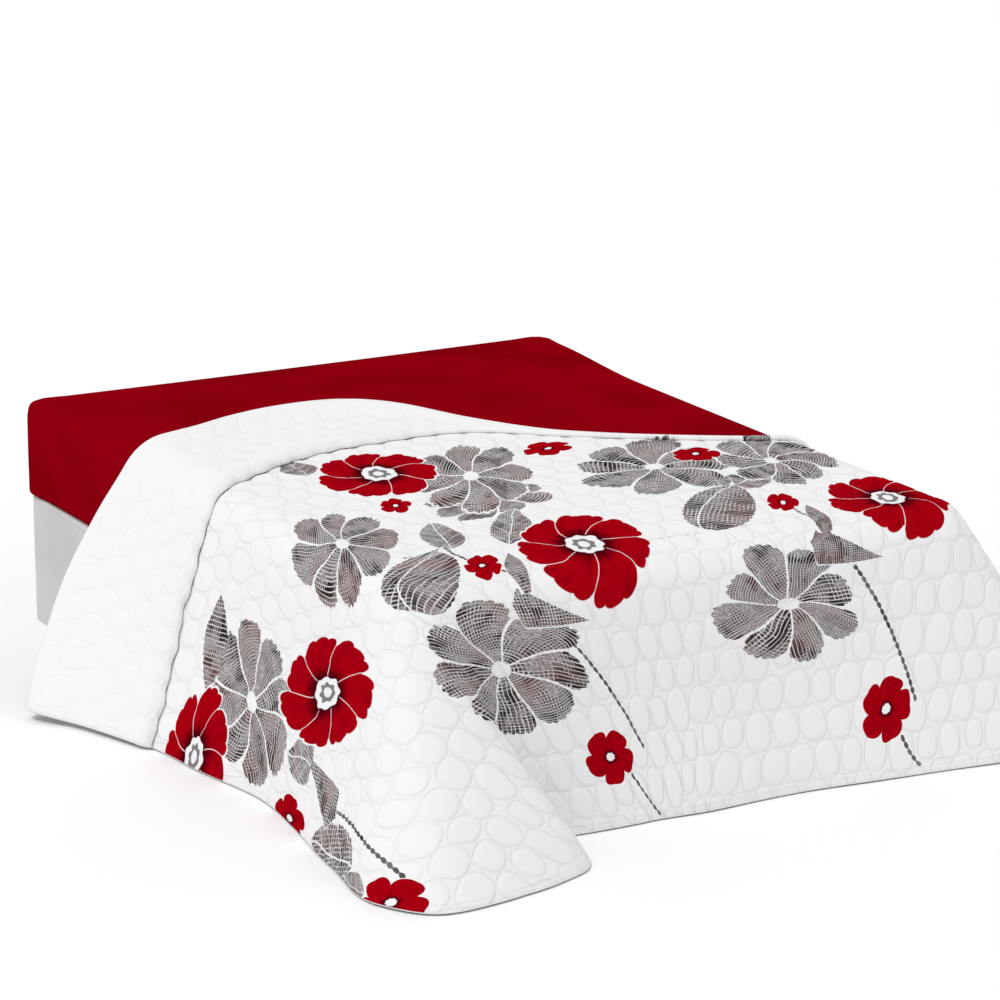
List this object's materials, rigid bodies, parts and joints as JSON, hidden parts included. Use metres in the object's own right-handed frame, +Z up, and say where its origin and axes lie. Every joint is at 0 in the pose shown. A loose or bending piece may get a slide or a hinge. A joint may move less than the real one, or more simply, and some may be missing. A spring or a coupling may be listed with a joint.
{
  "type": "quilt draped over a mattress and bed base",
  "caption": "Quilted bedspread with a floral print, draped to the floor over a mattress on a box base, its head end turned back.",
  "frame": {"origin": "on the floor under the bed base's flat underside, 15 mm towards the foot end from its middle", "axes": "+X across the bed to the right as seen from its foot, +Y along the bed towards its head end, +Z up"},
  "size_m": [2.2091, 2.405, 0.6666],
  "materials": {
    "base_fabric": "woven upholstery, matt",
    "mattress_cover": "crimson sateen sheet, soft sheen",
    "quilt_cotton": "white brushed cotton, pebble quilted, printed with red and grey flowers"
  },
  "bodies": {
    "root": {"base": "base_fabric", "mattress": "mattress_cover", "quilt": "quilt_cotton"}
  },
  "joints": []
}
